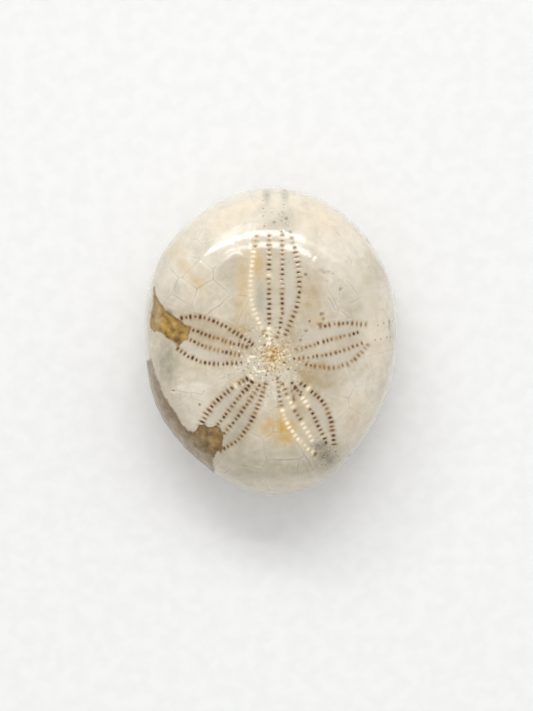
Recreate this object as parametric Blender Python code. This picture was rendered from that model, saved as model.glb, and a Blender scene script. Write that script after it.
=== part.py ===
"""Fossil sea urchin: a domed, petal-bearing urchin, polished all over.

The animal's test, the sediment inside it and the calcite that fills its pores
have grown into one stone, so the part is one closed body, "fossil_test".

Frame: metres, +Z up.  The origin is under the middle of the body, on the plane
that it rests on.  +Y is the front of the animal, where the odd petal points,
and +X is to its right, seen from above.
"""

import math

import bpy
from mathutils import Vector

MM = 0.001

# Driving dimensions of the body.
LENGTH = 31.9 * MM          # front to back
WIDTH = 25.9 * MM           # side to side
HEIGHT = 14.6 * MM          # resting plane to crown
RIM_HEIGHT = 5.0 * MM       # the widest level of the body
CROWN_OFFSET = Vector((0.2, -1.7)) * MM     # crown, from the middle of the outline
MOUTH_OFFSET = Vector((0.1, 1.2)) * MM      # middle of the hollow under the body
CROWN_FULLNESS = 3.4        # exponent of the dome's profile, 2 for an ellipse
BASE_REACH = 0.76           # where the side meets the base, as a share of the outline
FLAT_REACH = 0.46           # inner edge of the flat ring of the base
HOLLOW_RISE = 0.9 * MM      # rise of the concave middle of the base
FURROW_DEPTH = 0.22 * MM    # the five food furrows that run in to the mouth

# The outline is an ellipse with low lobes: lobes round it, height as a share of
# the radius, and the bearing of the first lobe in degrees from +X.
OUTLINE_LOBES = (
    (1, 0.018, 99.0),       # broader in front
    (2, 0.009, 1.0),
    (3, 0.014, 34.0),       # shoulders in front, a narrower back
    (4, 0.005, 27.0),
    (5, 0.008, -7.0),
    (6, 0.007, 30.0),
)

# Bearings of the five rays (ambulacra), the odd one first.
RAY_BEARINGS = (90.0, 14.0, -59.0, -128.0, 163.0)

# Mouth (peristome) and vent (periproct), both in the underside.
MOUTH_SIZE = Vector((3.0, 2.5)) * MM        # across and along the body
MOUTH_DEPTH = 1.2 * MM                      # above the hollow's own surface
MOUTH_CORNER = 0.07                         # how far its five corners reach out
VENT_PLACE = Vector((0.0, -10.1)) * MM
VENT_SIZE = Vector((2.1, 2.7)) * MM
VENT_DEPTH = 1.0 * MM

# Facets of the body.
SEGMENTS = 72
CROWN_RINGS = 18            # crown to rim
SIDE_RINGS = 8              # rim to base
BASE_RINGS = 12             # edge of the base to its middle
RINGS = CROWN_RINGS + SIDE_RINGS + BASE_RINGS
CUTTER_SEGMENTS = 30
CUTTER_RINGS = 14
SHARP_ANGLE = math.radians(40.0)

STONE_COLOUR = (0.66, 0.60, 0.48, 1.0)
STONE_ROUGHNESS = 0.12
STONE_METALLIC = 0.0


def clear_scene():
    """Remove every object of the start-up scene."""
    for scene_object in list(bpy.data.objects):
        bpy.data.objects.remove(scene_object, do_unlink=True)


def smooth_step(edge_low, edge_high, value):
    """Rise smoothly from 0 at edge_low to 1 at edge_high."""
    share = min(max((value - edge_low) / (edge_high - edge_low), 0.0), 1.0)
    return share * share * (3.0 - 2.0 * share)


def outline_radius(bearing):
    """Radius of the widest outline at a bearing in radians."""
    ellipse = 1.0 / math.hypot(math.cos(bearing) / (WIDTH / 2.0), math.sin(bearing) / (LENGTH / 2.0))
    lobes = sum(
        height * math.cos(count * (bearing - math.radians(first)))
        for count, height, first in OUTLINE_LOBES
    )
    return ellipse * (1.0 + lobes)


def furrow(bearing, reach):
    """Depth share of the food furrows, which run along the rays under the body."""
    nearest = min(
        abs(math.remainder(bearing - math.radians(ray), math.tau)) for ray in RAY_BEARINGS
    )
    across = math.exp(-((nearest / math.radians(11.0)) ** 2))
    along = smooth_step(FLAT_REACH, FLAT_REACH * 0.7, reach) * smooth_step(0.0, 0.1, reach)
    return across * along


def body_point(bearing, ring):
    """Point of the polished surface, on a ring counted from the crown to the middle of the base."""
    if ring <= CROWN_RINGS:
        turn = math.pi / 2.0 * ring / CROWN_RINGS
        reach = math.sin(turn) ** (2.0 / CROWN_FULLNESS)
        rise = max(math.cos(turn), 0.0) ** (2.0 / CROWN_FULLNESS)
        height = RIM_HEIGHT + (HEIGHT - RIM_HEIGHT) * rise
        middle = CROWN_OFFSET * (1.0 - reach)
    elif ring <= CROWN_RINGS + SIDE_RINGS:
        turn = math.pi / 2.0 * (ring - CROWN_RINGS) / SIDE_RINGS
        reach = BASE_REACH + (1.0 - BASE_REACH) * math.cos(turn)
        height = RIM_HEIGHT * (1.0 - math.sin(turn))
        middle = Vector((0.0, 0.0))
    else:
        reach = BASE_REACH * (RINGS - ring) / BASE_RINGS
        hollow = smooth_step(FLAT_REACH, 0.0, reach)
        height = HOLLOW_RISE * hollow + FURROW_DEPTH * furrow(bearing, reach)
        middle = MOUTH_OFFSET * smooth_step(FLAT_REACH, 0.0, reach)
    plan = middle + outline_radius(bearing) * reach * Vector((math.cos(bearing), math.sin(bearing)))
    return Vector((plan.x, plan.y, height))


def make_body():
    """Turn a ball's rings into the body's own profile and outline."""
    bpy.ops.mesh.primitive_uv_sphere_add(segments=SEGMENTS, ring_count=RINGS, radius=1.0)
    body = bpy.context.object
    body.name = "fossil_test"
    body.data.name = "fossil_test"
    for vertex in body.data.vertices:
        ring = round(math.acos(max(-1.0, min(1.0, vertex.co.z))) / math.pi * RINGS)
        bearing = math.atan2(vertex.co.y, vertex.co.x)
        vertex.co = body_point(bearing, ring)
    centre_on_origin(body)
    return body


def centre_on_origin(body):
    """Move the mesh so that its box stands centred on the origin."""
    corners = [vertex.co for vertex in body.data.vertices]
    low = Vector(min(corner[axis] for corner in corners) for axis in range(3))
    high = Vector(max(corner[axis] for corner in corners) for axis in range(3))
    shift = Vector(((low.x + high.x) / 2.0, (low.y + high.y) / 2.0, low.z))
    for vertex in body.data.vertices:
        vertex.co -= shift


def make_cutter(name, place, size, depth, corner_reach):
    """Make a ball-shaped cutter whose lower half stands below the surface that it opens."""
    bpy.ops.mesh.primitive_uv_sphere_add(segments=CUTTER_SEGMENTS, ring_count=CUTTER_RINGS, radius=1.0)
    cutter = bpy.context.object
    cutter.name = name
    cutter.hide_render = True
    cutter.display_type = "WIRE"
    for vertex in cutter.data.vertices:
        bearing = math.atan2(vertex.co.y, vertex.co.x)
        swell = 1.0 + corner_reach * math.cos(5.0 * (bearing - math.pi / 2.0))
        vertex.co.x *= swell * size.x / 2.0
        vertex.co.y *= swell * size.y / 2.0
        vertex.co.z *= depth
    cutter.location = place
    return cutter


def cut(body, cutter):
    """Open the body with a cutter."""
    boolean = body.modifiers.new(name=cutter.name, type="BOOLEAN")
    boolean.operation = "DIFFERENCE"
    boolean.solver = "EXACT"
    boolean.object = cutter


def stone_material():
    """Cream calcite with a polished surface."""
    material = bpy.data.materials.new("polished_calcite")
    material.use_nodes = True
    shader = material.node_tree.nodes["Principled BSDF"]
    shader.inputs["Base Color"].default_value = STONE_COLOUR
    shader.inputs["Roughness"].default_value = STONE_ROUGHNESS
    shader.inputs["Metallic"].default_value = STONE_METALLIC
    return material


def main():
    """Build the fossil."""
    clear_scene()
    body = make_body()
    body.data.materials.append(stone_material())
    body.data.shade_smooth()
    body.data.set_sharp_from_angle(angle=SHARP_ANGLE)
    mouth_place = Vector((MOUTH_OFFSET.x, MOUTH_OFFSET.y, HOLLOW_RISE))
    cut(body, make_cutter("mouth_cutter", mouth_place, MOUTH_SIZE, MOUTH_DEPTH, MOUTH_CORNER))
    vent_place = Vector((VENT_PLACE.x, VENT_PLACE.y, 0.0))
    cut(body, make_cutter("vent_cutter", vent_place, VENT_SIZE, VENT_DEPTH, 0.0))


main()
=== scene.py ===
"""Looks of the fossil sea urchin: its polished test, pore rows, plates, stains and matrix."""

import logging
import math
from dataclasses import dataclass, field
from enum import Enum

import bpy
import numpy as np
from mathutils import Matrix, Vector


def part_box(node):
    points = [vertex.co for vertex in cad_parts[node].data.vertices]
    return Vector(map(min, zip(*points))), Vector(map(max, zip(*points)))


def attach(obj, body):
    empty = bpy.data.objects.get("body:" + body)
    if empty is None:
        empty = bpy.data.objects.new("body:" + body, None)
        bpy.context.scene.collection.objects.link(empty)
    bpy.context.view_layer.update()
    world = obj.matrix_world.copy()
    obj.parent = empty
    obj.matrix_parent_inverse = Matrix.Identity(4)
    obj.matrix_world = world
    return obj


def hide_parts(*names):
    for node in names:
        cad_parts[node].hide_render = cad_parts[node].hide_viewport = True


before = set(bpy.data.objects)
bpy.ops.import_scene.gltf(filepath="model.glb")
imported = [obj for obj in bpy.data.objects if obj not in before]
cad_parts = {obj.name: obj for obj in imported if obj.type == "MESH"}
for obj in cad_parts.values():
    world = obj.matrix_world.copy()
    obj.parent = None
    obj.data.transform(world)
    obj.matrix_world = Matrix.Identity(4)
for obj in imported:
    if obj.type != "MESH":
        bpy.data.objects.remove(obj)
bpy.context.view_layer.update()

LOG = logging.getLogger("fossil")
MM = 0.001
NODE = "fossil_test"
FAR = 9.0                       # a distance beyond the reach of every mark
QUARTER = math.pi / 2.0

Array = np.ndarray
Plan = tuple[float, float]      # a place seen from above, in millimetres
Span = tuple[float, float]
Socket = bpy.types.NodeSocket
Stops = tuple[tuple[float, str], ...]


def smooth_step(low: float, high: float, value: Array) -> Array:
    """Rise smoothly from 0 to 1.

    Args:
        low: Value where the rise starts.
        high: Value where it ends; it may be the lower of the two.
        value: Values to read.

    Returns:
        Shares from 0 to 1.
    """
    share = np.clip((value - low) / (high - low), 0.0, 1.0)
    return share * share * (3.0 - 2.0 * share)


def angle_between(first: Array, second: Array) -> Array:
    """Signed turn from one bearing to another, the short way.

    Args:
        first: Bearings in radians.
        second: Bearings in radians.

    Returns:
        Turns from -pi to pi.
    """
    return np.angle(np.exp(1j * (second - first)))


def line_distance(plan: Array, first: Array, second: Array) -> Array:
    """Distance of plan points from a short straight line.

    Args:
        plan: Plan points in millimetres, one row each.
        first: The line's start.
        second: The line's end.

    Returns:
        Distances in millimetres.
    """
    side = second - first
    share = np.clip(((plan - first) @ side) / (side @ side), 0.0, 1.0)
    return np.linalg.norm(plan - first - share[:, None] * side, axis=1)


class Noise:
    """Smooth lattice noise in space, the same at every run."""

    CELLS = 24
    SHIFT = 1000.0              # keeps the cells of all places above 0

    def __init__(self, seed: int) -> None:
        """Draw the lattice.

        Args:
            seed: Seed of the lattice's values.
        """
        draws = np.random.default_rng(seed)
        self.lattice = draws.uniform(-1.0, 1.0, (self.CELLS,) * 3)

    def at(self, points: Array, size: float) -> Array:
        """Read the noise.

        Args:
            points: Points in millimetres, one row each.
            size: Size of a noise cell in millimetres.

        Returns:
            Values from -1 to 1.
        """
        places = points / size + self.SHIFT
        cell = np.floor(places).astype(int)
        ease = smooth_step(0.0, 1.0, places - cell)
        total = np.zeros(len(points))
        for corner in np.ndindex(2, 2, 2):
            index = (cell + corner) % self.CELLS
            weight = np.prod(np.where(np.array(corner), ease, 1.0 - ease), axis=1)
            total += weight * self.lattice[index[:, 0], index[:, 1], index[:, 2]]
        return total


@dataclass
class TestForm:
    """Form of the polished body, in millimetres, as the solid has it."""

    length: float = 31.9
    width: float = 25.9
    height: float = 14.6
    rim_height: float = 5.0
    crown: Plan = (0.2, -1.7)
    mouth: Plan = (0.1, 1.2)
    fullness: float = 3.4
    base_reach: float = 0.76
    flat_reach: float = 0.46
    hollow_rise: float = 0.9
    furrow_depth: float = 0.22
    lobes: tuple[tuple[int, float, float], ...] = (     # count, rise, and first bearing in degrees
        (1, 0.018, 99.0),
        (2, 0.009, 1.0),
        (3, 0.014, 34.0),
        (4, 0.005, 27.0),
        (5, 0.008, -7.0),
        (6, 0.007, 30.0),
    )
    furrow_half: float = 11.0   # half width of a furrow, in degrees
    furrow_ends: Span = (0.1, 0.7)   # reach, and share of the flat's, where it is full
    base_clear: float = 0.3     # height below which nothing may stand proud of the base
    side_share: float = 0.68    # share of the half turn, crown to mouth, where the side ends

    PROFILE_STEPS = 4001
    MERIDIAN_STEPS = 600
    BEARING_STEPS = 2001

    def __post_init__(self) -> None:
        """Space the dome's profile evenly, and measure a mean meridian and the ray bearings."""
        turns = np.linspace(0.0, QUARTER, self.PROFILE_STEPS)
        self.reaches = np.sin(turns) ** (2.0 / self.fullness)
        self.rises = np.maximum(np.cos(turns), 0.0) ** (2.0 / self.fullness)
        mean = (self.length + self.width) / 4.0
        dome = self.height - self.rim_height
        steps = np.hypot(np.diff(self.reaches) * mean, np.diff(self.rises) * dome)
        lengths = np.concatenate(((0.0,), np.cumsum(steps)))
        self.shares = lengths / lengths[-1]
        self.turns = np.linspace(0.0, math.pi, self.MERIDIAN_STEPS)
        across = np.column_stack((np.sin(self.turns), np.zeros(self.MERIDIAN_STEPS), np.cos(self.turns)))
        path = self.lay(across)
        path[:, 0] *= mean / (self.width / 2.0)
        steps = np.linalg.norm(np.diff(path, axis=0), axis=1)
        self.runs = np.concatenate(((0.0,), np.cumsum(steps)))

    def outline_radius(self, bearing: Array) -> Array:
        """Radius of the widest outline.

        Args:
            bearing: Bearings in radians.

        Returns:
            Radii in millimetres.
        """
        ellipse = 1.0 / np.hypot(2.0 * np.cos(bearing) / self.width, 2.0 * np.sin(bearing) / self.length)
        swell = sum(
            rise * np.cos(count * (bearing - math.radians(first))) for count, rise, first in self.lobes
        )
        return ellipse * (1.0 + swell)

    def outline(self, bearing: Array) -> Array:
        """Points of the widest outline.

        Args:
            bearing: Bearings in radians.

        Returns:
            Plan points in millimetres, one row each.
        """
        radius = self.outline_radius(bearing)
        return np.stack((radius * np.cos(bearing), radius * np.sin(bearing)), axis=1)

    def furrow(self, bearing: Array, reach: Array) -> Array:
        """Depth share of the food furrows under the body.

        Args:
            bearing: Bearings in radians.
            reach: Distance from the middle as a share of the outline.

        Returns:
            Shares from 0 to 1.
        """
        rays = np.radians([petal.bearing for petal in PETALS])
        gaps = np.abs(angle_between(rays[None, :], bearing[:, None])).min(axis=1)
        across = np.exp(-((gaps / math.radians(self.furrow_half)) ** 2))
        inner, outer = self.furrow_ends
        outer_fade = smooth_step(self.flat_reach, self.flat_reach * outer, reach)
        return across * outer_fade * smooth_step(0.0, inner, reach)

    def lay(self, directions: Array) -> Array:
        """Lay directions from the middle of a ball on the body's surface.

        Args:
            directions: Unit vectors, one row each.

        Returns:
            Points in millimetres, one row each.
        """
        bearing = np.arctan2(directions[:, 1], directions[:, 0])
        turn = np.arccos(np.clip(directions[:, 2], -1.0, 1.0))
        edge = self.outline(bearing)
        side_end = self.side_share * math.pi

        share = np.minimum(turn / QUARTER, 1.0)
        reach = np.interp(share, self.shares, self.reaches)
        rise = np.interp(share, self.shares, self.rises)
        level = self.rim_height + (self.height - self.rim_height) * rise
        crown = np.array(self.crown)
        dome = np.column_stack((crown + reach[:, None] * (edge - crown), level))

        side_turn = np.clip((turn - QUARTER) / (side_end - QUARTER), 0.0, 1.0) * QUARTER
        reach = self.base_reach + (1.0 - self.base_reach) * np.cos(side_turn)
        side = np.column_stack((reach[:, None] * edge, self.rim_height * (1.0 - np.sin(side_turn))))

        reach = self.base_reach * np.clip((math.pi - turn) / (math.pi - side_end), 0.0, 1.0)
        hollow = smooth_step(self.flat_reach, 0.0, reach)
        lift = self.hollow_rise * hollow + self.furrow_depth * self.furrow(bearing, reach)
        base = np.column_stack((np.array(self.mouth) * hollow[:, None] + reach[:, None] * edge, lift))

        on_dome = (turn <= QUARTER)[:, None]
        on_side = (turn <= side_end)[:, None]
        return np.where(on_dome, dome, np.where(on_side, side, base))

    def ray_bearing(self, bearing: Array) -> Array:
        """Bearing of a meridian seen from the crown.

        Args:
            bearing: Bearings in radians, seen from the middle of the outline.

        Returns:
            Bearings in radians.
        """
        away = self.outline(bearing) - np.array(self.crown)
        return np.arctan2(away[:, 1], away[:, 0])

    def run(self, directions: Array) -> Array:
        """Length of a mean meridian from the crown down to each direction.

        Args:
            directions: Unit vectors, one row each.

        Returns:
            Lengths in millimetres.
        """
        return np.interp(np.arccos(np.clip(directions[:, 2], -1.0, 1.0)), self.turns, self.runs)

    def over(self, plan: Array) -> tuple[Array, Array]:
        """Find the dome's places over plan points.

        Args:
            plan: Plan points in millimetres, one row each.

        Returns:
            Their bearings seen from the crown, and their runs from it.
        """
        away = plan - np.array(self.crown)
        ray = np.arctan2(away[:, 1], away[:, 0])
        rim_run = np.interp(QUARTER, self.turns, self.runs)
        rim = self.lay(self.direction(ray, np.full(len(ray), rim_run)))
        reach = np.linalg.norm(away, axis=1) / np.linalg.norm(rim[:, :2] - np.array(self.crown), axis=1)
        turn = np.interp(reach, self.reaches, self.shares) * QUARTER
        return ray, np.interp(turn, self.turns, self.runs)

    def direction(self, ray_bearing: Array, run: Array) -> Array:
        """Find the direction of a place given by its ray and its run from the crown.

        Args:
            ray_bearing: Bearings in radians, seen from the crown.
            run: Lengths from the crown in millimetres.

        Returns:
            Unit vectors, one row each.
        """
        bearings = np.linspace(-math.pi, math.pi, self.BEARING_STEPS)
        seen = np.unwrap(self.ray_bearing(bearings))
        wanted = seen[0] + np.mod(ray_bearing - seen[0], math.tau)
        bearing = np.interp(wanted, seen, bearings)
        turn = np.interp(run, self.runs, self.turns)
        level = np.sin(turn)
        return np.column_stack((level * np.cos(bearing), level * np.sin(bearing), np.cos(turn)))


@dataclass(frozen=True)
class PoreRow:
    """One row of pores, with places as (along, across) in millimetres from the crown."""

    start: Plan
    crest: Plan
    tip: Plan
    pores: int
    slot: float = 0.36                          # length of a pore, across its row
    tone: float = 0.25                          # 0 is darkest, 1 is faint
    spar: tuple[Span, ...] = ()                 # stretches filled with white calcite
    fades: float = 0.0                          # how much fainter the pores are at the tip

    PATH_STEPS = 300
    SPREAD = 0.17                               # spread of the tones in a row
    FADE_FROM = 0.72                            # share of the row where the pores start to fade
    SPAR_TONES = (1.6, 2.0)

    def across(self, along: Array) -> Array:
        """Distance of the row from its petal's axis.

        Args:
            along: Distances from the crown in millimetres.

        Returns:
            Distances across in millimetres.
        """
        rising = np.clip((along - self.start[0]) / (self.crest[0] - self.start[0]), 0.0, 1.0)
        falling = np.clip((along - self.crest[0]) / (self.tip[0] - self.crest[0]), 0.0, 1.0)
        rise = self.start[1] + (self.crest[1] - self.start[1]) * np.sin(rising * QUARTER)
        fall = self.tip[1] + (self.crest[1] - self.tip[1]) * np.cos(falling * QUARTER)
        return np.where(along < self.crest[0], rise, fall)

    def places(self) -> tuple[Array, Array]:
        """Even places of the pores.

        Returns:
            Places and unit tangents as (along, across), one row each.
        """
        along = np.linspace(self.start[0], self.tip[0], self.PATH_STEPS)
        path = np.column_stack((along, self.across(along)))
        steps = np.linalg.norm(np.diff(path, axis=0), axis=1)
        lengths = np.concatenate(((0.0,), np.cumsum(steps)))
        wanted = np.linspace(0.0, lengths[-1], self.pores)
        points = np.column_stack([np.interp(wanted, lengths, path[:, axis]) for axis in range(2)])
        tangents = np.gradient(points, axis=0)
        return points, tangents / np.linalg.norm(tangents, axis=1)[:, None]

    def tones(self, draws: np.random.Generator) -> Array:
        """Tone of each pore.

        Args:
            draws: Source of the spread between pores.

        Returns:
            Tones from 0, dark, to 1, faint; near 2 is white calcite.
        """
        share = np.linspace(0.0, 1.0, self.pores)
        tones = self.tone + draws.normal(0.0, self.SPREAD, self.pores)
        tones = np.clip(tones + self.fades * smooth_step(self.FADE_FROM, 1.0, share), 0.0, 1.0)
        white = draws.uniform(*self.SPAR_TONES, self.pores)
        for low, high in self.spar:
            tones = np.where((share >= low) & (share <= high), white, tones)
        return tones


@dataclass(frozen=True)
class Petal:
    """A petal: its bearing in degrees from +X, seen from the crown, and its four rows."""

    bearing: float
    rows: tuple[PoreRow, ...]

    def axes(self) -> Array:
        """Unit vectors along and across the petal, one row each."""
        turn = math.radians(self.bearing)
        return np.array(((math.cos(turn), math.sin(turn)), (-math.sin(turn), math.cos(turn))))

    def to_body(self, local: Array, crown: Plan) -> Array:
        """Turn (along, across) into the body's plan.

        Args:
            local: Places along and across the petal, one row each.
            crown: Plan point that the petal starts from.

        Returns:
            Plan points in millimetres, one row each.
        """
        along, across = self.axes()
        return np.array(crown) + local[:, :1] * along + local[:, 1:] * across

    def to_petal(self, plan: Array, crown: Plan) -> Array:
        """Turn plan points into (along, across).

        Args:
            plan: Plan points in millimetres, one row each.
            crown: Plan point that the petal starts from.

        Returns:
            Places along and across the petal, one row each.
        """
        away = plan - np.array(crown)
        return np.column_stack([away @ axis for axis in self.axes()])


PETALS = (
    Petal(90.0, (
        PoreRow((2.3, 0.72), (7.0, 2.32), (12.4, 1.70), 22, 0.38, 0.75, ((0.05, 0.90),)),
        PoreRow((1.6, 0.41), (7.0, 0.42), (12.5, 0.41), 23, 0.36, 0.12, (
            (0.0, 0.16), (0.28, 0.31), (0.60, 0.64), (0.73, 0.77),
        ), 0.5),
        PoreRow((2.2, -0.41), (5.0, -0.93), (12.5, -0.93), 22, 0.36, 0.15, (), 0.5),
        PoreRow((2.4, -1.20), (7.2, -2.68), (12.3, -1.95), 21, 0.40, 0.20, (), 0.5),
    )),
    Petal(14.0, (
        PoreRow((5.5, 1.97), (6.3, 1.92), (10.0, 1.08), 11, 0.36, 0.42, (), 0.2),
        PoreRow((2.6, 0.27), (6.5, 0.46), (9.0, 0.46), 15, 0.32, 0.42),
        PoreRow((2.1, -0.50), (6.2, -0.97), (9.1, -0.68), 16, 0.32, 0.40),
        PoreRow((3.1, -1.36), (6.6, -2.44), (9.75, -1.0), 16, 0.38, 0.38, (), 0.3),
    )),
    Petal(-60.0, (
        PoreRow((1.9, -0.56), (6.8, -2.05), (10.6, -1.15), 20, 0.36, 0.45, ((0.36, 0.98),)),
        PoreRow((2.8, -0.46), (6.0, -0.72), (9.2, -0.70), 14, 0.36, 0.30, ((0.22, 0.45), (0.62, 1.0))),
        PoreRow((3.1, 0.42), (6.0, 0.66), (10.1, 0.42), 16, 0.36, 0.12, ((0.26, 0.42),)),
        PoreRow((3.6, 1.20), (6.8, 2.14), (10.7, 1.02), 17, 0.42, 0.12, ((0.10, 0.14),)),
    )),
    Petal(-128.0, (
        PoreRow((2.8, -0.68), (8.0, -1.92), (10.0, -1.60), 17, 0.50, 0.28, ((0.0, 0.04), (0.20, 0.30))),
        PoreRow((3.2, -0.20), (6.5, -0.34), (9.2, -0.24), 14, 0.40, 0.15),
        PoreRow((3.0, 0.56), (6.8, 0.80), (9.5, 0.80), 15, 0.38, 0.25),
        PoreRow((2.5, 0.98), (8.3, 2.32), (10.7, 1.50), 20, 0.42, 0.25),
    )),
    Petal(163.0, (
        PoreRow((2.4, -0.75), (7.9, -1.92), (10.1, -1.20), 18, 0.40, 0.08),
        PoreRow((2.9, -0.33), (6.4, -0.28), (9.0, -0.46), 15, 0.36, 0.20),
        PoreRow((3.4, 0.64), (6.3, 0.86), (9.0, 0.58), 14, 0.34, 0.34),
        PoreRow((3.0, 1.32), (7.0, 2.44), (9.6, 1.85), 16, 0.40, 0.14),
    )),
)


class PoreField:
    """All pores of the upper side: where they lie, how they turn and what fills them."""

    HALF_ALONG = 0.105          # half a pore's opening along its row
    REACH = 1.1                 # farthest distance that a pore's halo reaches
    WANDER = 0.025              # how far a pore strays from its row
    PITCH = 0.485               # distance from a pore to the next
    CORNERS = 2.6               # power of a pore's outline, 2 for an oval
    SLOT_SHARES = (0.75, 1.22)  # shortest and longest pore of a row
    WIDTH_SHARES = (0.82, 1.35)
    SPAR_FROM = 1.5             # tone above which a pore holds white spar
    ZONE_START = (2.6, 3.8)     # distances from the crown where the pore zones begin
    ZONE_END = (0.5, -0.6)      # and end, from the petal's tip
    ZONE_EDGE = 0.3

    def __init__(self, form: TestForm, seed: int = 11) -> None:
        """Place the pores.

        Args:
            form: Form of the body.
            seed: Seed of the strays and tones.
        """
        draws = np.random.default_rng(seed)
        self.form = form
        centres, tangents, halves, tones, widths = [], [], [], [], []
        for petal in PETALS:
            for row in petal.rows:
                places, runs = row.places()
                places = places + draws.normal(0.0, self.WANDER, places.shape)
                centres.append(petal.to_body(places, form.crown))
                tangents.append(petal.to_body(runs, (0.0, 0.0)))
                halves.append(row.slot / 2.0 * draws.uniform(*self.SLOT_SHARES, row.pores))
                widths.append(self.HALF_ALONG * draws.uniform(*self.WIDTH_SHARES, row.pores))
                tones.append(row.tones(draws))
        self.centres = np.concatenate(centres)
        self.tangents = np.concatenate(tangents)
        self.halves = np.concatenate(halves)
        self.widths = np.concatenate(widths)
        self.tones = np.concatenate(tones)

    def measure(self, plan: Array) -> tuple[Array, Array]:
        """Find the nearest pore of each plan point.

        Args:
            plan: Plan points in millimetres, one row each.

        Returns:
            Distances, where 1 is a pore's edge, and the pores' numbers.
        """
        nearest = np.full(len(plan), FAR)
        owner = np.zeros(len(plan), int)
        for number, centre in enumerate(self.centres):
            away = plan - centre
            close = np.flatnonzero((np.abs(away) < self.REACH).all(axis=1))
            tangent = self.tangents[number]
            along = np.abs(away[close] @ tangent) / self.widths[number]
            across = np.abs(away[close] @ np.array((-tangent[1], tangent[0]))) / self.halves[number]
            distance = (along ** self.CORNERS + across ** self.CORNERS) ** (1.0 / self.CORNERS)
            better = distance < nearest[close]
            nearest[close[better]] = distance[better]
            owner[close[better]] = number
        return nearest, owner

    def between(self, across: Array, first: Array, second: Array) -> Array:
        """Find what lies between two rows.

        Args:
            across: Distances from the petal's axis.
            first: Distances of one row from it.
            second: Distances of the other.

        Returns:
            Shares that are 1 between the rows.
        """
        low, high = np.minimum(first, second), np.maximum(first, second)
        return smooth_step(0.0, self.ZONE_EDGE, np.minimum(across - low, high - across))

    def zones(self, plan: Array) -> tuple[Array, Array, Array]:
        """Find the petals' paler pore zones, their middles and the fine bars across them.

        Args:
            plan: Plan points in millimetres, one row each.

        Returns:
            Shares from 0 to 1 of zone, middle and bar.
        """
        zone, middle, bar = np.zeros((3, len(plan)))
        for petal in PETALS:
            along, across = petal.to_petal(plan, self.form.crown).T
            rows = [row.across(along) for row in petal.rows]
            left, core, right = (self.between(across, *rows[place:place + 2]) for place in range(3))
            tip_start, tip_end = (petal.rows[0].tip[0] + shift for shift in self.ZONE_END)
            ends = smooth_step(*self.ZONE_START, along) * smooth_step(tip_start, tip_end, along)
            own = np.maximum(left, right) * ends
            zone = np.maximum(zone, own)
            middle = np.maximum(middle, core * ends)
            bar = np.maximum(bar, own * (0.5 + 0.5 * np.cos(along * math.tau / self.PITCH)))
        return zone, middle, bar


class TrailPores:
    """Small single pores that go on from each petal's tip, round the rim, to the mouth."""

    LAST_RUN = 29.5
    STEP = 0.95                 # distance from a pore to the next, down the ray
    HALF_GAP = 0.80             # distance from the ray's middle to a pore
    RADIUS = 0.085
    REACH = 4.0                 # farthest that a pore is looked for, in its radii
    TIP_GAP = 0.9               # distance from the petal's tip to the first pore
    STAGGER = 0.25              # how much later one side's pores start
    WANDER = 0.05
    GIRTHS = ((20.0, 29.5), (12.5, 2.2))    # runs, and distances from the middle there
    CLOSING = ((24.0, 29.5), (1.0, 0.5))    # runs, and shares of the gap there

    def __init__(self, form: TestForm, seed: int = 19) -> None:
        """Place the pores.

        Args:
            form: Form of the body.
            seed: Seed of the strays.
        """
        draws = np.random.default_rng(seed)
        runs, bearings = [], []
        for petal in PETALS:
            tip = petal.to_body(np.array(((petal.rows[0].tip[0] + self.TIP_GAP, 0.0),)), form.crown)
            first = float(form.over(tip)[1][0])
            for side in (-1.0, 1.0):
                run = np.arange(first + self.STAGGER * side, self.LAST_RUN, self.STEP)
                runs.append(run + draws.normal(0.0, self.WANDER, len(run)))
                away = side * self.HALF_GAP * np.interp(run, *self.CLOSING)
                away += draws.normal(0.0, self.WANDER, len(run))
                bearings.append(math.radians(petal.bearing) + away / np.interp(run, *self.GIRTHS))
        self.centres = form.lay(form.direction(np.concatenate(bearings), np.concatenate(runs)))

    def measure(self, points: Array) -> Array:
        """Find how near each point is to a trail pore.

        Args:
            points: Points in millimetres, one row each.

        Returns:
            Distances, where 1 is a pore's edge.
        """
        nearest = np.full(len(points), FAR)
        for centre in self.centres:
            away = points - centre
            close = np.flatnonzero((np.abs(away) < self.RADIUS * self.REACH).all(axis=1))
            distance = np.linalg.norm(away[close], axis=1) / self.RADIUS
            nearest[close] = np.minimum(nearest[close], distance)
        return nearest


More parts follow.
